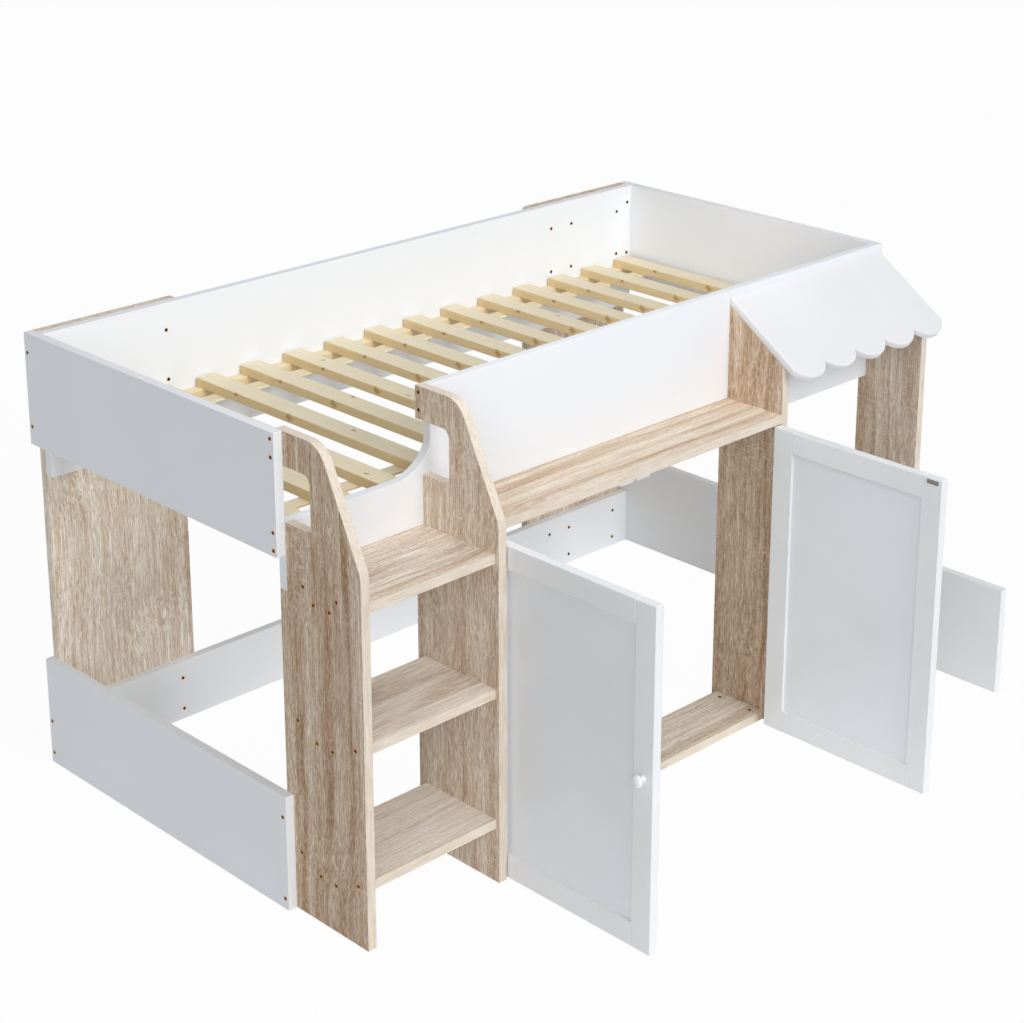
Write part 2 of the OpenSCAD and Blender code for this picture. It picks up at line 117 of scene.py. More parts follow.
# Camera

camera = {
    "place": (-3.4987, -3.3951, 2.6144),   # metres, in the frame
    "azimuth": -44.121,                    # degrees, from which the photo is taken
    "elevation": 17.453,
    "lens": 79.09,                         # mm on a 36 mm sensor
    "shiftY": -0.2,
}


def makeCamera():
    data = bpy.data.cameras.new("camera")
    data.lens = camera["lens"]
    data.sensor_width = 36.0
    data.shift_y = camera["shiftY"]
    data.clip_end = 60.0
    holder = bpy.data.objects.new("camera", data)
    a, e = math.radians(camera["azimuth"]), math.radians(camera["elevation"])
    back = Vector((math.sin(a) * math.cos(e), -math.cos(a) * math.cos(e), math.sin(e)))
    holder.location = camera["place"]
    holder.rotation_euler = (-back).to_track_quat("-Z", "Y").to_euler()
    bpy.context.scene.collection.objects.link(holder)
    bpy.context.scene.camera = holder


# Floor, background and lights

studio = {
    "floorSize": 40.0,
    "floorTones": [(0.3, "#f5f5f5"), (0.7, "#f9f9f9")],
    "floorGlow": 0.96,                # share of plain white in the floor's look, the rest keeps its shadow
    "ambient": 0.245,                 # world strength on the object
    "ambientTint": (0.93, 0.965, 1.0, 1.0),
    "spread": {"inner light": 34.0},  # degrees; it is aimed at the footboard's inside
    # name, kind, colour, strength, softness in degrees (metres for an area), place, the way it shines from
    "lamps": [
        ("front light", "SUN", "#fafcfe", 1.39, 24.0, (0, 0, 5), (-0.04, -0.88, 0.475)),
        ("left light", "SUN", "#fcfeff", 0.82, 40.0, (0, 0, 5), (-0.68, -0.62, 0.38)),
        ("right light", "SUN", "#fcfeff", 0.20, 50.0, (0, 0, 5), (0.85, -0.20, 0.45)),
        ("top light", "AREA", "#fafdff", 12.6, 1.6, (-0.3, -0.6, 2.6), (0, 0, 1)),
        ("inner light", "AREA", "#fffaf8", 0.25, 0.5, (-0.65, 0.05, 1.48), (-0.94, -0.13, 0.32)),
    ],
}


def whiteToTheCamera(tree, shaded, amount):
    # mixes plain white into what the camera, a reflection or a glass sees
    path = addNode(tree, "ShaderNodeLightPath")
    seen = path.outputs["Is Camera Ray"]
    for ray in ("Is Glossy Ray", "Is Transmission Ray"):
        seen = addNode(tree, "ShaderNodeMath", {0: seen, 1: path.outputs[ray]}, operation="MAXIMUM")
        seen = seen.outputs[0]
    share = addNode(tree, "ShaderNodeMath", {0: seen, 1: amount}, operation="MULTIPLY").outputs[0]
    plain = addNode(tree, "ShaderNodeEmission" if amount < 1 else "ShaderNodeBackground",
                    {"Color": (1, 1, 1, 1), "Strength": 1.0})
    return addNode(tree, "ShaderNodeMixShader", {0: share, 1: shaded, 2: plain.outputs[0]}).outputs[0]


def makeStudio():
    mesh = bpy.data.meshes.new("floor")
    half = studio["floorSize"] / 2
    corners = [(-half, -half, 0), (half, -half, 0), (half, half, 0), (-half, half, 0)]
    mesh.from_pydata(corners, [], [(0, 1, 2, 3)])
    floor = bpy.data.objects.new("floor", mesh)
    bpy.context.scene.collection.objects.link(floor)
    material, tree, shader = newMaterial("painted studio floor", 0.9, specular=0.0)
    grain = addNode(tree, "ShaderNodeTexNoise", {"Scale": 6.0, "Detail": 3.0})
    tone = addNode(tree, "ShaderNodeValToRGB", {0: grain.outputs["Fac"]}, studio["floorTones"])
    giveLook(tree, shader, tone.outputs[0])
    mixed = whiteToTheCamera(tree, shader.outputs[0], studio["floorGlow"])
    tree.links.new(mixed, tree.nodes["Material Output"].inputs["Surface"])
    mesh.materials.append(material)

    world = bpy.data.worlds.new("studio")
    world.use_nodes = True
    bpy.context.scene.world = world
    tree = world.node_tree
    background = tree.nodes["Background"]
    background.inputs["Color"].default_value = studio["ambientTint"]
    background.inputs["Strength"].default_value = studio["ambient"]
    mixed = whiteToTheCamera(tree, background.outputs[0], 1.0)
    tree.links.new(mixed, tree.nodes["World Output"].inputs["Surface"])

    for name, kind, colour, strength, softness, place, back in studio["lamps"]:
        data = bpy.data.lights.new(name, kind)
        data.color = linear(colour)[:3]
        data.energy = strength
        if kind == "SUN":
            data.angle = math.radians(softness)
        else:
            data.size = softness
            data.spread = math.radians(studio["spread"].get(name, 180.0))
        lamp = bpy.data.objects.new(name, data)
        lamp.visible_camera = False
        lamp.location = place
        lamp.rotation_euler = Vector(back).to_track_quat("Z", "Y").to_euler()
        bpy.context.scene.collection.objects.link(lamp)


# Materials

def oakDecor(name, grainAxis, wander):
    # Melamine-faced board with a printed, sawn-look oak: pale beige staves with soft brown bands, dense
    # fine pores and pale saw marks across them; matt, with the pores pressed in. The grain wanders by so
    # many metres. A board's tone makes it paler or browner, partly its own tone and partly painted light
    # that makes up for shade; its calm weakens its lines and pores.
    brown, tan, beige = "#bc9e82", "#dac6af", "#e8d9c8"
    look = {
        "wood": [(0.34, brown), (0.45, tan), (0.56, beige), (0.69, "#f3e9dc"), (0.92, "#fffaf3")],
        "figure": [(0.0, beige), (0.10, tan), (0.45, brown)],
        "swayWidth": 0.30, "swayLength": 0.40,
        "staveWidth": 0.078, "staveSway": 0.25, "staveContrast": 0.10, "staveJump": 2.0,
        "bandWidth": 0.034, "bandLength": 1.6,
        "figureWidth": 0.055, "figureLength": 0.17, "figureLines": 9.0,
        "wildStaves": [(0.66, 0.0), (0.70, 1.0)],
        "patchWidth": 0.12, "patchLength": 0.45, "patchShown": [(0.46, 0.0), (0.58, 0.5)],
        # width, length, detail and tints of the streaks, the growth lines and the fine fibre
        "lines": [(0.020, 0.8, 2.0, [(0.38, "#eae0d4"), (0.50, "#fffbf5"), (0.64, "#fdfdf7")]),
                  (0.0075, 0.45, 2.0, [(0.36, "#ebdfd2"), (0.56, "#ffffff")]),
                  (0.0019, 0.090, 1.0, [(0.41, "#cdbcac"), (0.57, "#ffffff")])],
        "lineShare": 0.95,
        "poreTone": "#85664d", "poreShown": [(0.50, 0.0), (0.66, 0.48)],
        "fleckTone": "#f7ece0", "fleckShown": [(0.50, 0.0), (0.66, 0.42)], "fleckShift": (0.31, 0.17, 0.23),
        "poreWidth": 0.0022, "poreLength": 0.0130,   # real pores are 0.3 mm wide, drawn coarser to show
        "poreDepth": 0.0002,
        "sawWidth": 0.016, "sawStep": 0.0036, "sawShown": [(0.58, 0.0), (0.70, 1.0)],
        "sawnWidth": 0.10, "sawnLength": 0.20, "sawnShown": [(0.50, 0.0), (0.62, 0.45)],
    }
    material, tree, shader = newMaterial(name, 0.66, specular=0.25)
    turned, one, other = turnedPlace(tree, grainAxis)
    sway = addNode(tree, "ShaderNodeMath",
                   {0: stretchedNoise(tree, turned, look["swayWidth"], look["swayLength"], 1.0),
                    1: wander, 2: -wander / 2}, operation="MULTIPLY_ADD").outputs[0]
    shift = addNode(tree, "ShaderNodeCombineXYZ", {1: sway, 2: sway})
    grain = addNode(tree, "ShaderNodeVectorMath", {0: turned, 1: shift.outputs[0]}).outputs[0]
    # staves of unlike tone, each with its own piece of the grain
    across = addNode(tree, "ShaderNodeMath", {0: one, 1: other}).outputs[0]
    across = addNode(tree, "ShaderNodeMath", {0: sway, 1: look["staveSway"], 2: across},
                     operation="MULTIPLY_ADD").outputs[0]
    stave = addNode(tree, "ShaderNodeMath", {0: across, 1: 1 / look["staveWidth"]}, operation="MULTIPLY")
    stave = addNode(tree, "ShaderNodeMath", {0: stave.outputs[0]}, operation="FLOOR").outputs[0]
    chance = addNode(tree, "ShaderNodeTexWhiteNoise", {"W": stave}, noise_dimensions="1D").outputs
    jump = addNode(tree, "ShaderNodeVectorMath", {0: chance["Color"], "Scale": look["staveJump"]},
                   operation="SCALE")
    grain = addNode(tree, "ShaderNodeVectorMath", {0: grain, 1: jump.outputs[0]}).outputs[0]

    band = stretchedNoise(tree, grain, look["bandWidth"], look["bandLength"])
    band = addNode(tree, "ShaderNodeMath", {0: chance["Value"], 1: look["staveContrast"], 2: band},
                   operation="MULTIPLY_ADD").outputs[0]
    # the board's tone, partly its own and partly painted light, shifts the ramp
    ownToneAndPaintedLight = addNode(tree, "ShaderNodeAttribute", attribute_name="boardToneAndPaintedLight").outputs["Fac"]
    band = addNode(tree, "ShaderNodeMath", {0: band, 1: ownToneAndPaintedLight}).outputs[0]
    colour = addNode(tree, "ShaderNodeValToRGB", {0: band}, look["wood"]).outputs[0]
    # wild figure in some staves: pale contour lines with brown between them
    hills = stretchedNoise(tree, grain, look["figureWidth"], look["figureLength"])
    hills = addNode(tree, "ShaderNodeMath", {0: hills, 1: look["figureLines"]}, operation="MULTIPLY")
    contours = addNode(tree, "ShaderNodeMath", {0: hills.outputs[0], 1: 0.5}, operation="PINGPONG")
    figure = addNode(tree, "ShaderNodeValToRGB", {0: contours.outputs[0]}, look["figure"]).outputs[0]
    wild = addNode(tree, "ShaderNodeValToRGB", {0: chance["Value"]}, look["wildStaves"]).outputs[0]
    patch = stretchedNoise(tree, grain, look["patchWidth"], look["patchLength"], 1.0)
    patch = addNode(tree, "ShaderNodeValToRGB", {0: patch}, look["patchShown"]).outputs[0]
    figured = addNode(tree, "ShaderNodeMath", {0: wild, 1: patch}, operation="MULTIPLY").outputs[0]
    colour = addNode(tree, "ShaderNodeMix", {0: figured, 6: colour, 7: figure}, data_type="RGBA").outputs[2]

    calm = addNode(tree, "ShaderNodeAttribute", attribute_name="boardCalm").outputs["Fac"]
    share = addNode(tree, "ShaderNodeMath", {0: look["lineShare"], 1: calm}, operation="SUBTRACT").outputs[0]
    for width, length, detail, tints in look["lines"]:
        tint = addNode(tree, "ShaderNodeValToRGB",
                       {0: stretchedNoise(tree, grain, width, length, detail)}, tints).outputs[0]
        colour = addNode(tree, "ShaderNodeMix", {0: share, 6: colour, 7: tint}, data_type="RGBA",
                         blend_type="MULTIPLY").outputs[2]
    shifted = addNode(tree, "ShaderNodeVectorMath", {0: grain, 1: look["fleckShift"]}).outputs[0]
    shown = []
    for place, stops, tone in ((grain, look["poreShown"], look["poreTone"]),
                               (shifted, look["fleckShown"], look["fleckTone"])):
        spots = stretchedNoise(tree, place, look["poreWidth"], look["poreLength"])
        spots = addNode(tree, "ShaderNodeValToRGB", {0: spots}, stops).outputs[0]
        spots = addNode(tree, "ShaderNodeMath", {0: spots, 1: share}, operation="MULTIPLY").outputs[0]
        colour = addNode(tree, "ShaderNodeMix", {0: spots, 6: colour, 7: tone}, data_type="RGBA").outputs[2]
        shown.append(spots)
    # saw marks across the grain, in patches
    saw = stretchedNoise(tree, turned, look["sawWidth"], look["sawStep"], 1.0)
    saw = addNode(tree, "ShaderNodeValToRGB", {0: saw}, look["sawShown"]).outputs[0]
    sawn = stretchedNoise(tree, turned, look["sawnWidth"], look["sawnLength"], 1.0)
    sawn = addNode(tree, "ShaderNodeValToRGB", {0: sawn}, look["sawnShown"]).outputs[0]
    sawn = addNode(tree, "ShaderNodeMath", {0: saw, 1: sawn}, operation="MULTIPLY").outputs[0]
    colour = addNode(tree, "ShaderNodeMix", {0: sawn, 6: colour, 7: look["fleckTone"]},
                     data_type="RGBA").outputs[2]
    pressed = addNode(tree, "ShaderNodeMath", {0: shown[0], 1: -1.0}, operation="MULTIPLY").outputs[0]
    giveLook(tree, shader, colour, pressed, look["poreDepth"])
    return material


def oakEdging(name, grainAxis):
    # ABS edging with a pale printed oak, ironed on: creamier and plainer than the face, its lines along it
    look = {
        "lineWidth": 0.004, "lineLength": 0.060, "lineDepth": 0.00006,
        "lines": [(0.33, "#d2c0aa"), (0.5, "#e2d4c3"), (0.67, "#ebe0d2")],
        "cloudSize": 0.05, "clouds": [(0.35, "#dccbb7"), (0.65, "#e8dccd")], "cloudShare": 0.4,
    }
    material, tree, shader = newMaterial(name, 0.5, specular=0.4)
    place = turnedPlace(tree, grainAxis)[0]
    along = stretchedNoise(tree, place, look["lineWidth"], look["lineLength"])
    wide = stretchedNoise(tree, place, look["cloudSize"], look["cloudSize"], 1.0)
    lines = addNode(tree, "ShaderNodeValToRGB", {0: along}, look["lines"]).outputs[0]
    clouds = addNode(tree, "ShaderNodeValToRGB", {0: wide}, look["clouds"]).outputs[0]
    colour = addNode(tree, "ShaderNodeMix", {0: look["cloudShare"], 6: lines, 7: clouds},
                     data_type="RGBA").outputs[2]
    giveLook(tree, shader, colour, along, look["lineDepth"])
    return material


def whiteMelamine(name):
    # white melamine-faced board: satin, with the faint pearl of the pressing plate, about 2 mm across
    material, tree, shader = newMaterial(name, 0.55, specular=0.25)
    place = addNode(tree, "ShaderNodeTexCoord").outputs["Object"]
    pearl = addNode(tree, "ShaderNodeTexNoise", {"Vector": place, "Scale": 450.0, "Detail": 2.0})
    cloud = addNode(tree, "ShaderNodeTexNoise", {"Vector": place, "Scale": 3.0, "Detail": 2.0})
    tones = [(0.3, "#edeff2"), (0.7, "#f0f1f4")]
    colour = addNode(tree, "ShaderNodeValToRGB", {0: cloud.outputs["Fac"]}, tones)
    giveLook(tree, shader, colour.outputs[0], pearl.outputs["Fac"], 0.00003)
    return material


def sprayedLacquer(name, tone, clouded):
    # semi-gloss lacquer sprayed on MDF: smooth, a little orange peel about 5 mm across, soft reflections
    material, tree, shader = newMaterial(name, 0.28, specular=0.5)
    place = addNode(tree, "ShaderNodeTexCoord").outputs["Object"]
    peel = addNode(tree, "ShaderNodeTexNoise", {"Vector": place, "Scale": 220.0, "Detail": 1.0})
    cloud = addNode(tree, "ShaderNodeTexNoise", {"Vector": place, "Scale": 4.0, "Detail": 2.0})
    colour = addNode(tree, "ShaderNodeValToRGB", {0: cloud.outputs["Fac"]}, [(0.3, tone), (0.7, clouded)])
    giveLook(tree, shader, colour.outputs[0], peel.outputs["Fac"], 0.00004)
    return material


def planedPine(name, knots, ownKnots=()):
    # planed, unvarnished pine: pale yellow with faint honey lines of late wood, darker and more golden near
    # the long sides, with brown knots. The attribute grainPlace has the grain on its X; knots are on every
    # piece, ownKnots on one slat each.
    look = {
        "late": "#e7d7b0", "early": "#f4e8ce", "side": "#e5c892", "sideShare": 0.75, "sideBandDepth": 0.0016,
        # the rings lie round the pith and hardly change along the grain
        "ringWidth": 0.0044, "pith": (0.0, -0.085, -0.050), "ringStretch": (0.02, 1.0, 1.0),
        "ringWander": 4.0, "wanderWidth": 0.05, "wanderLength": 0.50, "ringDepth": 0.00010,
        "lateUpTo": 0.02, "earlyFrom": 0.30,
        "honeyWidth": 0.03, "honeyLength": 0.5, "honeyShown": [(0.45, 0.0), (0.75, 0.4)],
        "fibreWidth": 0.0028, "fibreLength": 0.10, "fibreTones": [(0.3, 0.90), (0.7, 1.0)],
        # tones and shares from the middle out, for the knots on every piece and for those on one slat, and
        # how coarse and how strong the wobble of their outline is, as shares of their size
        "knots": [("#b3843c", [(0.70, 0.85), (1.45, 0.0)]), ("#7f5a26", [(0.50, 0.55), (0.90, 0.0)])],
        "ownKnots": [("#a27b42", [(0.80, 0.85), (1.30, 0.0)])],
        "wobbleSize": 0.7, "wobble": 1.1,
    }
    material, tree, shader = newMaterial(name, 0.6, specular=0.3)
    place = addNode(tree, "ShaderNodeAttribute", attribute_name="grainPlace").outputs["Vector"]
    flat = addNode(tree, "ShaderNodeVectorMath", {0: place, 1: look["ringStretch"]}, operation="MULTIPLY")
    radius = addNode(tree, "ShaderNodeVectorMath", {0: flat.outputs[0], 1: look["pith"]},
                     operation="DISTANCE")
    rings = addNode(tree, "ShaderNodeMath", {0: radius.outputs["Value"], 1: 1 / look["ringWidth"]},
                    operation="MULTIPLY")
    wander = stretchedNoise(tree, place, look["wanderWidth"], look["wanderLength"])
    rings = addNode(tree, "ShaderNodeMath", {0: wander, 1: look["ringWander"], 2: rings.outputs[0]},
                    operation="MULTIPLY_ADD")
    lines = addNode(tree, "ShaderNodeMath", {0: rings.outputs[0], 1: 0.5}, operation="PINGPONG").outputs[0]
    colour = addNode(tree, "ShaderNodeValToRGB", {0: lines},
                     [(look["lateUpTo"], look["late"]), (look["earlyFrom"], look["early"])])
    honey = stretchedNoise(tree, place, look["honeyWidth"], look["honeyLength"])
    honey = addNode(tree, "ShaderNodeValToRGB", {0: honey}, look["honeyShown"])
    colour = addNode(tree, "ShaderNodeMix", {0: honey.outputs[0], 6: colour.outputs[0], 7: look["late"]},
                     data_type="RGBA").outputs[2]
    # darker, more golden colour near the long sides, by how near they are
    across = addNode(tree, "ShaderNodeSeparateXYZ", {0: place}).outputs["Y"]
    width = addNode(tree, "ShaderNodeAttribute", attribute_name="boardWidth").outputs["Fac"]
    other = addNode(tree, "ShaderNodeMath", {0: width, 1: across}, operation="SUBTRACT").outputs[0]
    nearest = addNode(tree, "ShaderNodeMath", {0: across, 1: other}, operation="MINIMUM").outputs[0]
    sawn = addNode(tree, "ShaderNodeValToRGB", {0: nearest},
                   [(0.0, look["sideShare"]), (look["sideBandDepth"], 0.0)]).outputs[0]
    colour = addNode(tree, "ShaderNodeMix", {0: sawn, 6: colour, 7: look["side"]},
                     data_type="RGBA").outputs[2]
    fibre = stretchedNoise(tree, place, look["fibreWidth"], look["fibreLength"])
    fibre = addNode(tree, "ShaderNodeValToRGB", {0: fibre}, look["fibreTones"]).outputs[0]
    colour = addNode(tree, "ShaderNodeMix", {0: 1.0, 6: colour, 7: fibre}, data_type="RGBA",
                     blend_type="MULTIPLY").outputs[2]

    number = addNode(tree, "ShaderNodeAttribute", attribute_name="slatNumber").outputs["Fac"]
    for own, (x, y, z), size, length in [(None, *knot) for knot in knots] + list(ownKnots):
        squeezed = addNode(tree, "ShaderNodeVectorMath", {0: place, 1: (1 / length, 1.0, 1.0)},
                           operation="MULTIPLY")
        away = addNode(tree, "ShaderNodeVectorMath", {0: squeezed.outputs[0], 1: (x / length, y, z)},
                       operation="DISTANCE").outputs["Value"]
        coarse = size * look["wobbleSize"]
        away = addNode(tree, "ShaderNodeMath",
                       {0: stretchedNoise(tree, place, coarse, coarse * length), 1: size * look["wobble"],
                        2: away}, operation="MULTIPLY_ADD")
        away = addNode(tree, "ShaderNodeMath", {0: away.outputs[0], 1: 1 / size}, operation="MULTIPLY")
        for tone, stops in look["knots"] if own is None else look["ownKnots"]:
            shown = addNode(tree, "ShaderNodeValToRGB", {0: away.outputs[0]}, stops).outputs[0]
            if own is not None:
                here = addNode(tree, "ShaderNodeMath", {0: number, 1: float(own), 2: 0.4},
                               operation="COMPARE").outputs[0]
                shown = addNode(tree, "ShaderNodeMath", {0: shown, 1: here}, operation="MULTIPLY").outputs[0]
            colour = addNode(tree, "ShaderNodeMix", {0: shown, 6: colour, 7: tone},
                             data_type="RGBA").outputs[2]
    giveLook(tree, shader, colour, lines, look["ringDepth"])
    return material


def zincPlate(name):
    # zinc-plated pressed steel: pale grey, with a fine even grain
    material, tree, shader = newMaterial(name, 0.36, metallic=1.0)
    place = addNode(tree, "ShaderNodeTexCoord").outputs["Object"]
    grain = stretchedNoise(tree, place, 0.0006, 0.0006)
    colour = addNode(tree, "ShaderNodeValToRGB", {0: grain}, [(0.35, "#b9bcc0"), (0.65, "#cfd1d3")])
    giveLook(tree, shader, colour.outputs[0], grain, 0.00002)
    return material


def brushedSteel(name):
    # brushed steel strip, dulled to a brownish grey
    material, tree, shader = newMaterial(name, 0.42, metallic=1.0)
    place = addNode(tree, "ShaderNodeTexCoord").outputs["Object"]
    brushed = stretchedNoise(tree, place, 0.0009, 0.02)
    colour = addNode(tree, "ShaderNodeValToRGB", {0: brushed}, [(0.35, "#8f8a84"), (0.65, "#aaa59e")])
    giveLook(tree, shader, colour.outputs[0], brushed, 0.00003)
    return material


def yellowZinc(name, dark, bright):
    # yellow-passivated steel: brassy, its film uneven over a few millimetres
    material, tree, shader = newMaterial(name, 0.42, metallic=1.0)
    place = addNode(tree, "ShaderNodeTexCoord").outputs["Object"]
    film = addNode(tree, "ShaderNodeTexNoise", {"Vector": place, "Scale": 260.0, "Detail": 2.0})
    colour = addNode(tree, "ShaderNodeValToRGB", {0: film.outputs["Fac"]}, [(0.3, dark), (0.7, bright)])
    giveLook(tree, shader, colour.outputs[0])
    return material


def mouldedPlastic(name):
    # injection-moulded ABS, white; its spark-eroded grain of 0.1 mm is drawn at about 1 mm to show
    material, tree, shader = newMaterial(name, 0.45, specular=0.5)
    place = addNode(tree, "ShaderNodeTexCoord").outputs["Object"]
    spark = addNode(tree, "ShaderNodeTexNoise", {"Vector": place, "Scale": 900.0, "Detail": 2.0})
    spark = spark.outputs["Fac"]
    colour = addNode(tree, "ShaderNodeValToRGB", {0: spark}, [(0.3, "#e8e8e8"), (0.7, "#f0f0f0")])
    giveLook(tree, shader, colour.outputs[0], spark, 0.00004)
    return material


# Boards: each takes its outline from its CAD board, with the edges eased as on the real one

def bodyOf(node):
    return next(body for body, members in frame["record"]["behaviour"]["bodies"].items() if node in members)


def linkPiece(name, mesh, body, replaced=()):
    piece = bpy.data.objects.new(name, mesh)
    bpy.context.scene.collection.objects.link(piece)
    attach(piece, body)
    if replaced:
        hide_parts(*replaced)


def evaluatedMesh(holder, name):
    # what a holder's modifiers make, as a plain mesh; the holder goes
    bpy.context.view_layer.update()
    graph = bpy.context.evaluated_depsgraph_get()
    mesh = bpy.data.meshes.new_from_object(holder.evaluated_get(graph))
    mesh.name = name
    bpy.data.objects.remove(holder)
    return mesh


easing = {
    "over": 40.0,         # degrees between faces whose edge is eased
    "segments": 2,
    "smoothBelow": 12.0,  # degrees between faces that are shaded as one curve
    "flatBelow": 0.3,     # degrees between triangles that are joined to one face
    "welded": 1e-5,       # metres within which points are one
    "broadFrom": 0.9,     # share of its normal along the thickness that makes a face a broad one
    "atLip": 0.0002,      # metres within which an edge counts as a lip
}


def shadeByAngle(mesh, degrees):
    shape = bmesh.new()
    shape.from_mesh(mesh)
    bmesh.ops.recalc_face_normals(shape, faces=shape.faces)
    for edge in shape.edges:
        edge.smooth = len(edge.link_faces) == 2 and edge.calc_face_angle() < math.radians(degrees)
    for face in shape.faces:
        face.smooth = True
    shape.to_mesh(mesh)
    shape.free()


def easedBoard(name, face, edging, ease, grain=None, tone=0.0, calm=0.0, lips=()):
    # a finished copy of a CAD board: its broad faces and its edges each have their material, and its outer
    # edges are eased by so many metres; those at the lips, which are places in its thickness, stay sharp
    low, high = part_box(name)
    size = high - low
    thin = min(range(3), key=lambda axis: size[axis])
    shape = bmesh.new()
    shape.from_mesh(nodes[name].data)
    bmesh.ops.remove_doubles(shape, verts=shape.verts, dist=easing["welded"])
    bmesh.ops.dissolve_limit(shape, angle_limit=math.radians(easing["flatBelow"]), verts=shape.verts,
                             edges=shape.edges)
    weight = shape.edges.layers.float.new("bevel_weight_edge")
    for side in shape.faces:
        side.material_index = 0 if abs(side.normal[thin]) > easing["broadFrom"] else 1
    for edge in shape.edges:
        held = any(all(abs(vertex.co[thin] - lip) < easing["atLip"] for vertex in edge.verts) for lip in lips)
        if len(edge.link_faces) == 2 and edge.is_convex and not held:
            edge[weight] = 1.0 if edge.calc_face_angle() > math.radians(easing["over"]) else 0.0
    mesh = bpy.data.meshes.new(name)
    shape.to_mesh(mesh)
    shape.free()
    mesh.materials.append(face)
    mesh.materials.append(edging)
    holder = bpy.data.objects.new("holder", mesh)
    bpy.context.scene.collection.objects.link(holder)
    bevel = holder.modifiers.new("eased edges", "BEVEL")
    bevel.limit_method = "WEIGHT"
    bevel.width = ease
    bevel.segments = easing["segments"]
    mesh = evaluatedMesh(holder, name + " eased")
    shadeByAngle(mesh, easing["smoothBelow"])
    if grain:
        layGrain(mesh, low, high, grain)
    # the board's tone, partly painted light, and its calm go to the mesh as attributes
    for kind, value in (("boardToneAndPaintedLight", tone), ("boardCalm", calm)):
        if value:
            field = mesh.attributes.new(kind, "FLOAT", "POINT")
            field.data.foreach_set("value", [value] * len(mesh.vertices))
    linkPiece(name + "_finish", mesh, bodyOf(name), (name,))


def layGrain(mesh, low, high, grain):
    # stores where each point lies in the wood, with the grain on X, and how wide the board is
    order = {"X": (0, 1, 2), "Y": (1, 0, 2), "Z": (2, 0, 1)}[grain]
    width = mesh.attributes.new("boardWidth", "FLOAT", "POINT")
    width.data.foreach_set("value", [high[order[1]] - low[order[1]]] * len(mesh.vertices))
    field = mesh.attributes.new("grainPlace", "FLOAT_VECTOR", "POINT")
    for point, vertex in zip(field.data, mesh.vertices):
        place = vertex.co - low
        point.vector = [place[axis] for axis in order]


whiteBoards = {
    "ease": 0.0010,
    "boards": ["headboard", "footboard", "back_rail", "front_rail", "lower_left_end_board",
               "lower_right_end_board", "lower_back_rail"],
}
oakBoards = {
    "ease": 0.0008,
    "upright": ["left_back_post", "right_back_post", "ladder_left_panel", "ladder_right_panel",
                "middle_panel", "right_front_post"],
    "lying": ["step_1", "step_2", "step_3", "counter_shelf", "floor_board"],
    "uprightWander": 0.07, "lyingWander": 0.025,   # metres
    "darkEdged": ["left_back_post", "right_back_post"],   # their edges have the face's own decor
    # how much paler or browner than the rest a board is: partly its own tone, partly painted light, with
    # boards that sit in shade, such as the treads, back posts and floor board, made paler; step_1 is the
    # lowest tread
    "tones": {"ladder_left_panel": -0.03, "ladder_right_panel": 0.16, "middle_panel": -0.06,
              "left_back_post": 0.34, "right_back_post": 0.15, "right_front_post": 0.10,
              "step_1": 0.60, "step_2": 0.66, "step_3": 0.20, "counter_shelf": -0.03, "floor_board": 0.36},
    # how much softer its lines and pores are
    "calm": {"counter_shelf": 0.50, "step_1": 0.50, "step_2": 0.52, "step_3": 0.25, "left_back_post": 0.20,
             "right_back_post": 0.15, "ladder_left_panel": 0.15, "ladder_right_panel": 0.20,
             "middle_panel": 0.15, "right_front_post": 0.20, "floor_board": 0.30},
}
awningBoard = {"ease": 0.0040}
doorParts = {
    "ease": 0.0020, "infillEase": 0.0005,
    "parts": ["hinge_stile", "free_stile", "top_rail", "bottom_rail"],
}


def makeBoards(finish):
    for name in whiteBoards["boards"]:
        easedBoard(name, finish["melamine"], finish["melamine"], whiteBoards["ease"])
    for group, face, edge in (("upright", finish["oakUp"], finish["edgeUp"]),
                              ("lying", finish["oakAlong"], finish["edgeAlong"])):
        for name in oakBoards[group]:
            easedBoard(name, face, face if name in oakBoards["darkEdged"] else edge, oakBoards["ease"],
                       tone=oakBoards["tones"][name], calm=oakBoards["calm"][name])
    easedBoard("awning", finish["awning"], finish["awning"], awningBoard["ease"])
    print("boards made")


def makeDoors(finish):
    for side in ("left", "right"):
        infill = f"{side}_door_infill"
        low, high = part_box(infill)
        for part in doorParts["parts"]:
            easedBoard(f"{side}_door_{part}", finish["lacquer"], finish["lacquer"], doorParts["ease"],
                       lips=(low.x, high.x))
        easedBoard(infill, finish["infill"], finish["infill"], doorParts["infillEase"])
    easedBoard("gate_board", finish["lacquer"], finish["lacquer"], doorParts["ease"])
    print("doors made")


# Knobs: turned, with the CAD knob's foot, neck and domed head

knobTurning = {
    "sides": 48,
    # height above the door and radius, as shares of the knob's own
    "profile": [(0.0, 0.60), (0.05, 0.61), (0.08, 0.58), (0.16, 0.40), (0.26, 0.345), (0.34, 0.36),
                (0.41, 0.52), (0.48, 0.80), (0.56, 0.95), (0.66, 1.0), (0.76, 0.97), (0.86, 0.83),
                (0.94, 0.58), (0.985, 0.30)],
}


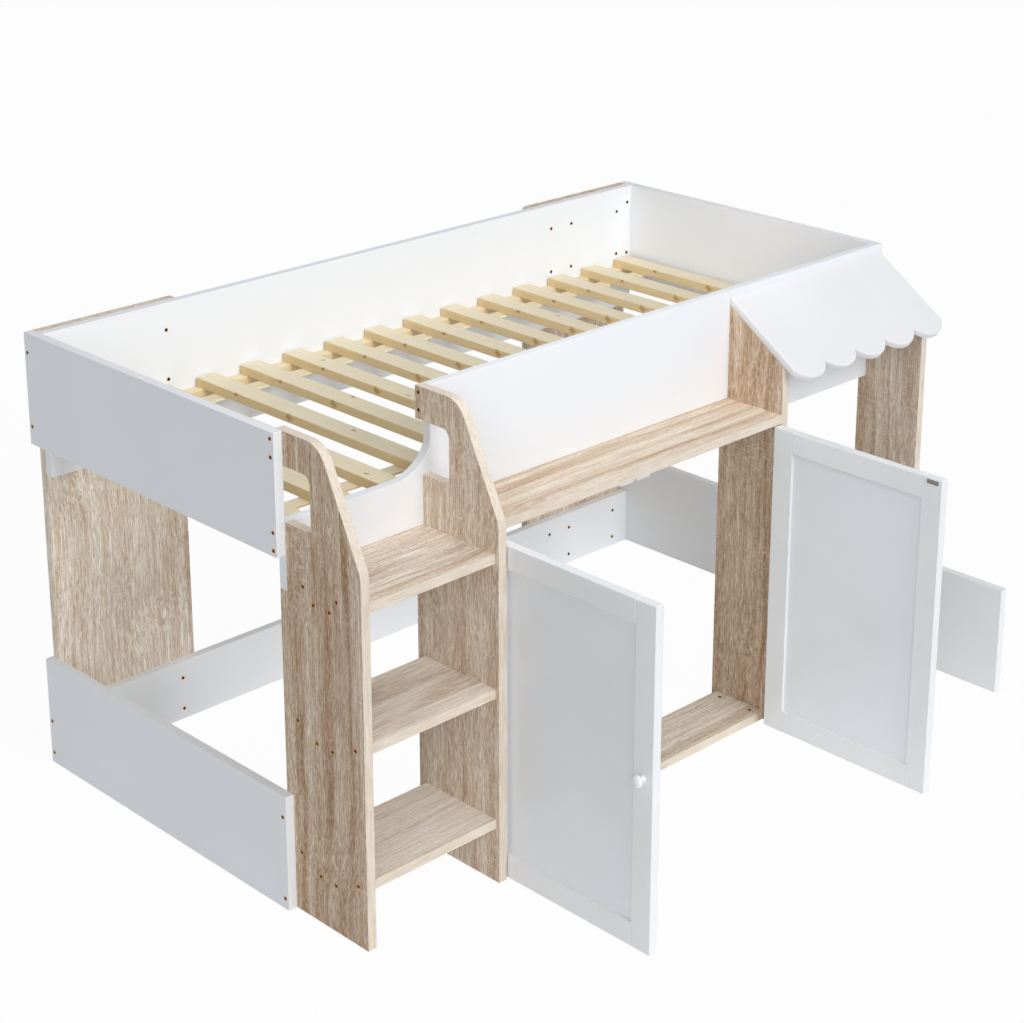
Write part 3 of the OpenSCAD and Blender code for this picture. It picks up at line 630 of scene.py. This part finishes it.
def makeKnob(side, finish):
    node = f"{side}_door_knob"
    low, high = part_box(node)
    centre = (low + high) / 2
    out = Vector((-1.0 if side == "left" else 1.0, 0.0, 0.0))
    root = high.x if side == "left" else low.x
    length, radius = high.x - low.x, (high.z - low.z) / 2
    foot = Vector((root, centre.y, centre.z))
    shape = bmesh.new()
    count = knobTurning["sides"]
    rings = []
    for height, share in knobTurning["profile"]:
        rings.append([shape.verts.new(foot + out * length * height
                                      + Vector((0, math.cos(t), math.sin(t))) * radius * share)
                      for t in (2 * math.pi * k / count for k in range(count))])
    tip = shape.verts.new(foot + out * length)
    for lower, upper in zip(rings, rings[1:]):
        for k in range(count):
            shape.faces.new((lower[k], lower[(k + 1) % count], upper[(k + 1) % count], upper[k]))
    for k in range(count):
        shape.faces.new((rings[-1][k], rings[-1][(k + 1) % count], tip))
    shape.faces.new(list(reversed(rings[0])))
    bmesh.ops.recalc_face_normals(shape, faces=shape.faces)
    for face in shape.faces:
        face.smooth = len(face.verts) < 5
    mesh = bpy.data.meshes.new(node)
    shape.to_mesh(mesh)
    shape.free()
    mesh.materials.append(finish["lacquer"])
    linkPiece(f"{side}_knob_turned", mesh, f"{side}_door", (node,))


# Slats: one rounded lath, repeated along the ledgers by Geometry Nodes

slats = {
    "easeRadius": 0.0013, "corners": 2,
    "rails": ["front_ledger", "back_ledger", "slat_laths"], "railEase": 0.0012,
    # places along from the front end, across and up, then size and how much longer than wide
    "sideKnots": [((0.662, 0.0, 0.017), 0.0120, 1.3), ((0.461, 0.0, 0.012), 0.0270, 1.3)],
    "railKnots": [((0.35, 0.0, 0.02), 0.006, 1.4)],
    # knots on top, each on one slat, counted from 0 at the ladder's end
    "topKnots": [(3, (0.284, 0.036, 0.022), 0.0110, 2.4), (4, (0.455, 0.047, 0.022), 0.0100, 2.4),
                 (5, (0.373, 0.015, 0.022), 0.0110, 2.4), (5, (0.705, 0.035, 0.022), 0.0080, 2.0),
                 (2, (0.068, 0.020, 0.022), 0.0110, 2.2), (8, (0.300, 0.030, 0.022), 0.0100, 2.4),
                 (10, (0.560, 0.040, 0.022), 0.0090, 2.2), (12, (0.210, 0.025, 0.022), 0.0110, 2.4)],
}


def groupInput(tree, name, kind, value):
    socket = tree.interface.new_socket(name, in_out="INPUT", socket_type=kind)
    socket.default_value = value
    return socket.identifier


def runNodes(tree, values, name):
    # runs a tree on an empty mesh, or on the mesh given, and returns the result
    mesh = values.pop("mesh", None) or bpy.data.meshes.new(name)
    holder = bpy.data.objects.new("holder", mesh)
    bpy.context.scene.collection.objects.link(holder)
    modifier = holder.modifiers.new("made by nodes", "NODES")
    modifier.node_group = tree
    for identifier, value in values.items():
        modifier[identifier] = value
    return evaluatedMesh(holder, name)


def slatTree(material):
    tree = bpy.data.node_groups.new("slats", "GeometryNodeTree")
    names = {name: groupInput(tree, name, kind, value) for name, kind, value in (
        ("Count", "NodeSocketInt", 15), ("First", "NodeSocketVector", (0, 0, 0)),
        ("Last", "NodeSocketVector", (1, 0, 0)), ("Length", "NodeSocketFloat", 0.8),
        ("Width", "NodeSocketFloat", 0.05), ("Thickness", "NodeSocketFloat", 0.02),
        ("Edge radius", "NodeSocketFloat", 0.002))}
    tree.interface.new_socket("Geometry", in_out="OUTPUT", socket_type="NodeSocketGeometry")
    given = addNode(tree, "NodeGroupInput").outputs
    section = addNode(tree, "GeometryNodeCurvePrimitiveQuadrilateral",
                      {"Width": given["Width"], "Height": given["Thickness"]}, mode="RECTANGLE")
    section = addNode(tree, "GeometryNodeFilletCurve",
                      {"Curve": section.outputs[0], "Radius": given["Edge radius"],
                       "Count": slats["corners"]}, mode="POLY")
    run = addNode(tree, "ShaderNodeCombineXYZ", {1: given["Length"]})
    spine = addNode(tree, "GeometryNodeCurvePrimitiveLine", {"End": run.outputs[0]})
    lath = addNode(tree, "GeometryNodeCurveToMesh",
                   {"Curve": spine.outputs[0], "Profile Curve": section.outputs[0], "Fill Caps": True})
    # each point knows its place along, across and up its slat, and the slat's number
    spot = addNode(tree, "GeometryNodeInputPosition")
    parts = addNode(tree, "ShaderNodeSeparateXYZ", {0: spot.outputs[0]}).outputs
    acrossHalf = addNode(tree, "ShaderNodeMath", {0: given["Width"], 1: 0.5, 2: parts["X"]},
                         operation="MULTIPLY_ADD")
    upHalf = addNode(tree, "ShaderNodeMath", {0: given["Thickness"], 1: 0.5, 2: parts["Z"]},
                     operation="MULTIPLY_ADD")
    local = addNode(tree, "ShaderNodeCombineXYZ",
                    {0: parts["Y"], 1: acrossHalf.outputs[0], 2: upHalf.outputs[0]})
    marked = addNode(tree, "GeometryNodeStoreNamedAttribute",
                     {"Geometry": lath.outputs[0], "Name": "grainPlace", "Value": local.outputs[0]},
                     data_type="FLOAT_VECTOR", domain="POINT")
    marked = addNode(tree, "GeometryNodeStoreNamedAttribute",
                     {"Geometry": marked.outputs[0], "Name": "boardWidth", "Value": given["Width"]},
                     data_type="FLOAT", domain="POINT")
    row = addNode(tree, "GeometryNodeMeshLine",
                  {"Count": given["Count"], "Start Location": given["First"], "Offset": given["Last"]},
                  mode="END_POINTS")
    number = addNode(tree, "GeometryNodeInputIndex")
    counted = addNode(tree, "GeometryNodeStoreNamedAttribute",
                      {"Geometry": row.outputs[0], "Name": "slatNumber", "Value": number.outputs[0]},
                      data_type="FLOAT", domain="POINT")
    laid = addNode(tree, "GeometryNodeInstanceOnPoints",
                   {"Points": counted.outputs[0], "Instance": marked.outputs[0]})
    whole = addNode(tree, "GeometryNodeRealizeInstances", {"Geometry": laid.outputs[0]})
    dressed = addNode(tree, "GeometryNodeSetMaterial", {"Geometry": whole.outputs[0], "Material": material})
    addNode(tree, "NodeGroupOutput", {0: dressed.outputs[0]})
    return tree, names


def makeSlats(finish):
    members = sorted(name for name in nodes if name.startswith("slat_") and name != "slat_laths")
    first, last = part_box(members[0]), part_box(members[-1])
    size = first[1] - first[0]
    tree, names = slatTree(finish["slatPine"])
    corner = Vector((size.x / 2, 0, size.z / 2))
    mesh = runNodes(tree, {
        names["Count"]: len(members), names["First"]: first[0] + corner, names["Last"]: last[0] + corner,
        names["Length"]: size.y, names["Width"]: size.x, names["Thickness"]: size.z,
        names["Edge radius"]: slats["easeRadius"]}, "slats")
    shadeByAngle(mesh, easing["smoothBelow"])
    linkPiece("slats", mesh, bodyOf(members[0]), members)
    for name in slats["rails"]:
        easedBoard(name, finish["railPine"], finish["railPine"], slats["railEase"], grain="X")
    easedBoard("step_braces", finish["oakAlong"], finish["edgeAlong"], oakBoards["ease"])
    print("slatted base made")


# Screws: a countersunk head with a cross, repeated by Geometry Nodes where the CAD screws sit

screws = {
    "head": 0.0096,      # the real head is 8 mm, drawn wider so that its ring and cross show
    "rimShare": 0.48, "headDepth": 0.0011, "sides": 24,
    "crossLength": 0.0066, "crossWidth": 0.0038, "crossDepth": 0.0003,
    "shank": 0.0045, "shankSides": 12,
    "smoothBelow": 35.0,
    "headFrom": 0.003,   # a point of a CAD screw that is farther than this from its axis is on its head
    "welded": 1e-6,
    "seed": 7,
}


def screwTree(material, recessMaterial):
    tree = bpy.data.node_groups.new("screws", "GeometryNodeTree")
    tree.interface.new_socket("Geometry", in_out="INPUT", socket_type="NodeSocketGeometry")
    names = {name: groupInput(tree, name, "NodeSocketFloat", value) for name, value in (
        ("Head diameter", 0.007), ("Head depth", 0.001), ("Cross length", 0.004), ("Cross width", 0.001),
        ("Cross depth", 0.001), ("Shank diameter", 0.0045))}
    tree.interface.new_socket("Geometry", in_out="OUTPUT", socket_type="NodeSocketGeometry")
    given = addNode(tree, "NodeGroupInput").outputs
    radius = addNode(tree, "ShaderNodeMath", {0: given["Head diameter"], 1: 0.5}, operation="MULTIPLY")
    rim = addNode(tree, "ShaderNodeMath", {0: given["Head diameter"], 1: screws["rimShare"]},
                  operation="MULTIPLY")
    head = addNode(tree, "GeometryNodeMeshCone",
                   {"Vertices": screws["sides"], "Radius Top": rim.outputs[0],
                    "Radius Bottom": radius.outputs[0], "Depth": given["Head depth"]})
    bars = []
    for x, y in (("Cross length", "Cross width"), ("Cross width", "Cross length")):
        tall = addNode(tree, "ShaderNodeMath", {0: given["Cross depth"], 1: 2.0}, operation="MULTIPLY")
        size = addNode(tree, "ShaderNodeCombineXYZ", {0: given[x], 1: given[y], 2: tall.outputs[0]})
        bars.append(addNode(tree, "GeometryNodeMeshCube", {"Size": size.outputs[0]}).outputs[0])
    lift = addNode(tree, "ShaderNodeCombineXYZ", {2: given["Head depth"]})
    cross = addNode(tree, "GeometryNodeMeshBoolean", operation="UNION", solver="EXACT")
    for bar in bars:
        tree.links.new(bar, cross.inputs["Mesh 2"])
    raised = addNode(tree, "GeometryNodeTransform",
                     {"Geometry": cross.outputs[0], "Translation": lift.outputs[0]})
    recess = addNode(tree, "GeometryNodeSetMaterial",
                     {"Geometry": raised.outputs[0], "Material": recessMaterial})
    plated = addNode(tree, "GeometryNodeSetMaterial", {"Geometry": head.outputs[0], "Material": material})
    cut = addNode(tree, "GeometryNodeMeshBoolean", {"Mesh 1": plated.outputs[0], "Mesh 2": recess.outputs[0]},
                  operation="DIFFERENCE", solver="EXACT")
    shankRadius = addNode(tree, "ShaderNodeMath", {0: given["Shank diameter"], 1: 0.5}, operation="MULTIPLY")
    shank = addNode(tree, "GeometryNodeMeshCylinder",
                    {"Vertices": screws["shankSides"], "Radius": shankRadius.outputs[0], "Depth": 1.0})
    lower = addNode(tree, "GeometryNodeTransform",
                    {"Geometry": shank.outputs[0], "Translation": (0, 0, -0.5)})
    lower = addNode(tree, "GeometryNodeSetMaterial", {"Geometry": lower.outputs[0], "Material": material})
    outward = addNode(tree, "GeometryNodeInputNamedAttribute", {"Name": "outward"}, data_type="FLOAT_VECTOR")
    reach = addNode(tree, "GeometryNodeInputNamedAttribute", {"Name": "reach"}, data_type="FLOAT")
    spin = addNode(tree, "GeometryNodeInputNamedAttribute", {"Name": "spin"}, data_type="FLOAT")
    aim = addNode(tree, "FunctionNodeAlignRotationToVector", {"Vector": outward.outputs[0]}, axis="Z")
    twist = addNode(tree, "ShaderNodeCombineXYZ", {2: spin.outputs[0]})
    turned = addNode(tree, "FunctionNodeRotateRotation",
                     {"Rotation": aim.outputs[0], "Rotate By": twist.outputs[0]}, rotation_space="LOCAL")
    stretch = addNode(tree, "ShaderNodeCombineXYZ", {0: 1.0, 1: 1.0, 2: reach.outputs[0]})
    given = given["Geometry"]
    heads = addNode(tree, "GeometryNodeInstanceOnPoints",
                    {"Points": given, "Instance": cut.outputs[0], "Rotation": turned.outputs[0]})
    shanks = addNode(tree, "GeometryNodeInstanceOnPoints",
                     {"Points": given, "Instance": lower.outputs[0], "Rotation": turned.outputs[0],
                      "Scale": stretch.outputs[0]})
    both = addNode(tree, "GeometryNodeJoinGeometry")
    tree.links.new(heads.outputs[0], both.inputs[0])
    tree.links.new(shanks.outputs[0], both.inputs[0])
    whole = addNode(tree, "GeometryNodeRealizeInstances", {"Geometry": both.outputs[0]})
    addNode(tree, "NodeGroupOutput", {0: whole.outputs[0]})
    return tree, names


def screwPlaces(node):
    # the head's centre, the way out and the length of each screw in a CAD node
    shape = bmesh.new()
    shape.from_mesh(nodes[node].data)
    bmesh.ops.remove_doubles(shape, verts=shape.verts, dist=screws["welded"])
    left, found = set(shape.verts), []
    while left:
        island, edge = set(), [left.pop()]
        while edge:
            vertex = edge.pop()
            island.add(vertex)
            for link in vertex.link_edges:
                other = link.other_vert(vertex)
                if other in left:
                    left.discard(other)
                    edge.append(other)
        low = Vector([min(v.co[i] for v in island) for i in range(3)])
        high = Vector([max(v.co[i] for v in island) for i in range(3)])
        axis = max(range(3), key=lambda i: high[i] - low[i])
        middle = (low + high) / 2
        head = [v.co for v in island
                if max(abs(v.co[i] - middle[i]) for i in range(3) if i != axis) > screws["headFrom"]]
        sign = 1.0 if sum(co[axis] for co in head) / len(head) > middle[axis] else -1.0
        outward = Vector([sign if i == axis else 0.0 for i in range(3)])
        face = max(co[axis] * sign for co in head) * sign
        place = Vector([face if i == axis else middle[i] for i in range(3)])
        found.append((place, outward, high[axis] - low[axis]))
    shape.free()
    return sorted(found, key=lambda item: tuple(round(c, 5) for c in item[0]))


def makeScrews(name, node, tree, names):
    turns = random.Random(screws["seed"])
    places = screwPlaces(node)
    mesh = bpy.data.meshes.new(name + " places")
    mesh.from_pydata([place - outward * screws["headDepth"] for place, outward, _ in places], [], [])
    for field, kind in (("outward", "FLOAT_VECTOR"), ("reach", "FLOAT"), ("spin", "FLOAT")):
        mesh.attributes.new(field, kind, "POINT")
    for i, (_, outward, reach) in enumerate(places):
        mesh.attributes["outward"].data[i].vector = outward
        mesh.attributes["reach"].data[i].value = reach - screws["headDepth"]
        mesh.attributes["spin"].data[i].value = turns.uniform(0, math.pi / 2)
    values = {names[socket]: screws[size] for socket, size in (
        ("Head diameter", "head"), ("Head depth", "headDepth"), ("Cross length", "crossLength"),
        ("Cross width", "crossWidth"), ("Cross depth", "crossDepth"), ("Shank diameter", "shank"))}
    made = runNodes(tree, {"mesh": mesh, **values}, name)
    shadeByAngle(made, screws["smoothBelow"])
    linkPiece(name, made, bodyOf(node), (node,))
    print("screws made:", len(places))


# Hardware: the screws, and plain CAD parts that only need their finish

def dressNode(name, material):
    slots = nodes[name].data.materials
    slots.clear()
    slots.append(material)


def makeHardware(finish):
    tree, names = screwTree(finish["screw"], finish["screwCross"])
    makeScrews("frame_screw_set", "frame_screws", tree, names)
    for name in ("hinge_fixed_leaves", "hinge_pins", "left_door_hinge_leaves", "right_door_hinge_leaves",
                 "gate_hinge_leaves"):
        dressNode(name, finish["zinc"])
    for name in ("left_door_catch_plate", "right_door_catch_plate"):
        dressNode(name, finish["plate"])
    dressNode("magnetic_catches", finish["plastic"])
    print("hardware dressed")


def main():
    makeCamera()
    makeStudio()
    print("camera, floor and lights set")
    finish = {
        "oakUp": oakDecor("oak melamine upright", "Z", oakBoards["uprightWander"]),
        "oakAlong": oakDecor("oak melamine lying", "X", oakBoards["lyingWander"]),
        "edgeUp": oakEdging("oak edging upright", "Z"),
        "edgeAlong": oakEdging("oak edging lying", "X"),
        "melamine": whiteMelamine("white melamine"),
        "lacquer": sprayedLacquer("white lacquer", "#eef0f2", "#f4f5f6"),
        "infill": sprayedLacquer("white lacquered panel", "#edf0f4", "#f1f4f8"),
        # the awning's lacquer is drawn greyer than the doors' white: painted shade that tones down the light
        # its up-facing slope catches
        "awning": sprayedLacquer("white lacquered awning with painted shade", "#e3e2e3", "#e7e6e7"),
        "slatPine": planedPine("planed pine slats", slats["sideKnots"], slats["topKnots"]),
        "railPine": planedPine("planed pine rails", slats["railKnots"]),
        "zinc": zincPlate("zinc-plated steel"),
        "plate": brushedSteel("brushed steel"),
        "screw": yellowZinc("yellow zinc screws", "#a5691c", "#d99a34"),
        "screwCross": yellowZinc("shaded screw recess", "#1e150c", "#3a2812"),
        "plastic": mouldedPlastic("white plastic"),
    }
    print("materials made:", len(finish))
    makeBoards(finish)
    makeDoors(finish)
    for side in ("left", "right"):
        makeKnob(side, finish)
    print("knobs turned")
    makeSlats(finish)
    makeHardware(finish)
    bpy.context.scene.view_settings.view_transform = "Standard"


main()
